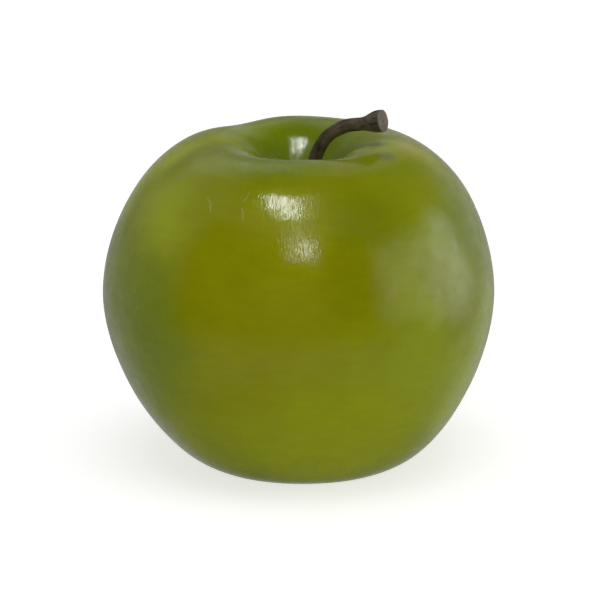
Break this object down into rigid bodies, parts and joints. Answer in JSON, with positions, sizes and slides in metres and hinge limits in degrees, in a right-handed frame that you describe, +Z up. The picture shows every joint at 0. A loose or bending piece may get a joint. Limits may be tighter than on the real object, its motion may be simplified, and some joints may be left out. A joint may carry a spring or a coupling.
{
  "type": "green apple",
  "caption": "Whole fresh green apple with a woody stem bent over its cavity and dried sepals in the basin underneath, standing on its base.",
  "frame": {"origin": "middle of the base box, on the plane the apple rests on", "axes": "+Z up along the core, from the calyx to the stem; the stem bends towards +X and a little towards -Y"},
  "size_m": [0.08, 0.08, 0.0748],
  "materials": {
    "skin": "gloss",
    "bark": "matte",
    "dry_leaf": "matte",
    "dry_thread": "matte"
  },
  "bodies": {
    "root": {"fruit": "skin", "stem": "bark", "sepal_1": "dry_leaf", "sepal_2": "dry_leaf", "sepal_3": "dry_leaf", "sepal_4": "dry_leaf", "sepal_5": "dry_leaf", "stamens": "dry_thread"}
  },
  "joints": []
}
